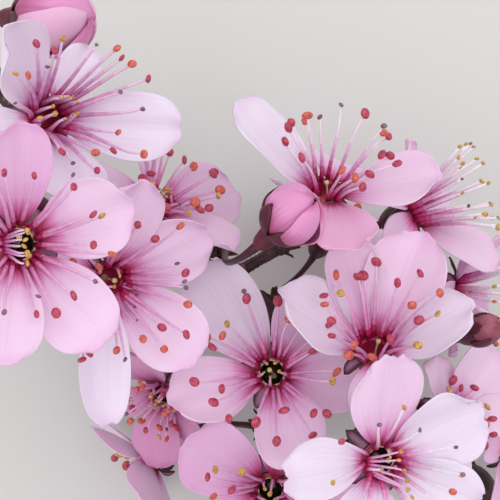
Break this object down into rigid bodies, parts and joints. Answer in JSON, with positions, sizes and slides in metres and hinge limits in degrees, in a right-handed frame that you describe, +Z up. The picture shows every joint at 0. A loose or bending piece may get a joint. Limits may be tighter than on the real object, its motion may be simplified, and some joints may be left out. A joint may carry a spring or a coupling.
{
  "type": "cut blossoming cherry plum branch",
  "caption": "Cut spray of cherry plum in full pink blossom: a woody stem with short spurs and stalked five-petalled flowers, lying down.",
  "frame": {"origin": "on the surface that the spray lies on, under the middle of its bounding box", "axes": "+Z up from that surface; +X across the spray, toward the side of the stem's cut foot; +Y away from the cut foot"},
  "size_m": [0.0836, 0.0768, 0.0594],
  "materials": {
    "bark": "matte",
    "calyx": "satin",
    "petal": "satin"
  },
  "bodies": {
    "root": {"stem": "bark", "bloom_left_front": "petal", "stalk_left_front": "calyx", "bloom_left_top": "petal", "stalk_left_top": "calyx", "bloom_left_corner": "petal", "stalk_left_corner": "calyx", "bloom_left_inner": "petal", "stalk_left_inner": "calyx", "bloom_middle_upper": "petal", "stalk_middle_upper": "calyx", "bloom_low_left": "petal", "stalk_low_left": "calyx", "bloom_middle": "petal", "stalk_middle": "calyx", "bloom_right_middle": "petal", "stalk_right_middle": "calyx", "bloom_right_low": "petal", "stalk_right_low": "calyx", "bloom_top_middle": "petal", "stalk_top_middle": "calyx", "bloom_half_open": "petal", "stalk_half_open": "calyx", "bloom_right_upper": "petal", "stalk_right_upper": "calyx", "bloom_right_side": "petal", "stalk_right_side": "calyx", "bloom_right_inner": "petal", "stalk_right_inner": "calyx", "bloom_right_far": "petal", "stalk_right_far": "calyx", "bloom_bottom": "petal", "stalk_bottom": "calyx", "bloom_under_left": "petal", "stalk_under_left": "calyx", "bloom_under_low": "petal", "stalk_under_low": "calyx", "bloom_under_middle": "petal", "stalk_under_middle": "calyx", "bud_right": "calyx", "bud_left_end": "calyx", "bud_foot": "calyx"}
  },
  "joints": []
}
